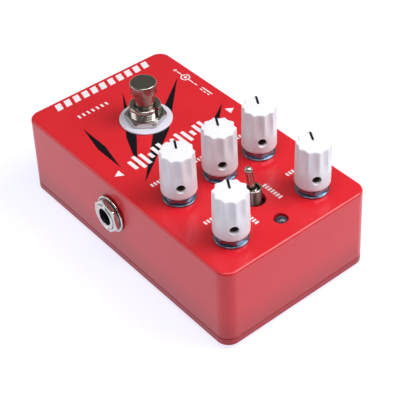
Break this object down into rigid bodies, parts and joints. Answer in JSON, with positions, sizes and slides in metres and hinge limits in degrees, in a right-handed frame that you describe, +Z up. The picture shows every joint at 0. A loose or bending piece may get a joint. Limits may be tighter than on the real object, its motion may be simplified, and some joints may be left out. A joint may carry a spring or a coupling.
{
  "type": "guitar effects pedal",
  "caption": "Red die-cast guitar effects pedal with white fluted knobs, a footswitch, a mini toggle switch, a status light, side jacks and a screwed base plate.",
  "frame": {"origin": "on the ground under the centre of the enclosure, at the level of the rubber feet's undersides", "axes": "+Z up; Y along the enclosure, +Y towards the knob end and -Y towards the player's foot; +X out of the input jack"},
  "size_m": [0.0724, 0.1162, 0.0553],
  "materials": {
    "enclosure_paint": "gloss powder coat, red",
    "base_paint": "gloss powder coat, red",
    "screw_steel": "zinc plated",
    "foot_rubber": "matte black",
    "board_green": "solder mask",
    "chip_black": "moulded epoxy",
    "capacitor_sleeve": "shrunk sleeve",
    "pot_metal": "plated",
    "panel_hardware": "bright nickel plate",
    "switch_blue": "moulded",
    "switch_metal": "nickel plate",
    "tinned_metal": "tinned",
    "nylon": "natural translucent nylon",
    "spring_steel": "bright wire",
    "ribbon_grey": "vinyl",
    "wire_black": "vinyl",
    "jack_black": "moulded nylon",
    "jack_metal": "nickel plate",
    "contact_brass": "spring brass",
    "led_lens": "water clear dome, unlit",
    "shaft_metal": "turned",
    "insert_brass": "turned",
    "set_screw_steel": "black oxide",
    "knob_white": "moulded, semi-gloss white"
  },
  "bodies": {
    "root": {"enclosure_shell": "enclosure_paint", "base_plate": "base_paint", "base_screws": "screw_steel", "rubber_feet": "foot_rubber", "control_board": "board_green", "board_chips": "chip_black", "board_capacitors": "capacitor_sleeve", "gain_pot": "pot_metal", "volume_pot": "pot_metal", "treble_pot": "pot_metal", "middle_pot": "pot_metal", "bass_pot": "pot_metal", "pot_washers": "panel_hardware", "pot_nuts": "panel_hardware", "footswitch_housing": "switch_blue", "footswitch_bushing": "switch_metal", "footswitch_terminals": "tinned_metal", "footswitch_lock_nut": "panel_hardware", "footswitch_washer": "nylon", "footswitch_nut": "panel_hardware", "footswitch_spring": "spring_steel", "switch_board": "board_green", "ribbon_cable": "ribbon_grey", "jack_wires": "wire_black", "toggle_housing": "jack_black", "toggle_bushing": "switch_metal", "status_led": "led_lens", "input_jack_body": "jack_black", "input_jack_sleeve": "jack_metal", "input_jack_contacts": "contact_brass", "output_jack_body": "jack_black", "output_jack_sleeve": "jack_metal", "output_jack_contacts": "contact_brass", "jack_washers": "panel_hardware", "jack_nuts": "panel_hardware", "power_jack_body": "jack_black", "power_jack_pin": "tinned_metal", "power_jack_nut": "panel_hardware"},
    "gain_control": {"gain_shaft": "shaft_metal", "gain_insert": "insert_brass", "gain_set_screw": "set_screw_steel", "gain_knob": "knob_white"},
    "volume_control": {"volume_shaft": "shaft_metal", "volume_insert": "insert_brass", "volume_set_screw": "set_screw_steel", "volume_knob": "knob_white"},
    "treble_control": {"treble_shaft": "shaft_metal", "treble_insert": "insert_brass", "treble_set_screw": "set_screw_steel", "treble_knob": "knob_white"},
    "middle_control": {"middle_shaft": "shaft_metal", "middle_insert": "insert_brass", "middle_set_screw": "set_screw_steel", "middle_knob": "knob_white"},
    "bass_control": {"bass_shaft": "shaft_metal", "bass_insert": "insert_brass", "bass_set_screw": "set_screw_steel", "bass_knob": "knob_white"},
    "footswitch_button": {"footswitch_button": "switch_metal"},
    "toggle_lever": {"toggle_lever": "switch_metal"}
  },
  "joints": [
    {"name": "gain_turn", "type": "hinge", "parent": "root", "child": "gain_control", "pos_m": [0.0183, 0.0442, 0.035], "axis": [0, 0, -1], "range_deg": [0, 300]},
    {"name": "volume_turn", "type": "hinge", "parent": "root", "child": "volume_control", "pos_m": [-0.0183, 0.0442, 0.035], "axis": [0, 0, -1], "range_deg": [0, 300]},
    {"name": "treble_turn", "type": "hinge", "parent": "root", "child": "treble_control", "pos_m": [0.0183, 0.017, 0.035], "axis": [0, 0, -1], "range_deg": [0, 300]},
    {"name": "middle_turn", "type": "hinge", "parent": "root", "child": "middle_control", "pos_m": [0, 0.017, 0.035], "axis": [0, 0, -1], "range_deg": [0, 300]},
    {"name": "bass_turn", "type": "hinge", "parent": "root", "child": "bass_control", "pos_m": [-0.0183, 0.017, 0.035], "axis": [0, 0, -1], "range_deg": [0, 300]},
    {"name": "footswitch_press", "type": "slide", "parent": "root", "child": "footswitch_button", "axis": [0, 0, -1], "range_m": [0, 0.0038], "stiffness_N_per_m": 4000, "springref_m": -0.002, "deforming": ["footswitch_spring"]},
    {"name": "toggle_throw", "type": "hinge", "parent": "root", "child": "toggle_lever", "pos_m": [0.0004, 0.0347, 0.038], "axis": [0, -1, 0], "range_deg": [0, 20]}
  ]
}
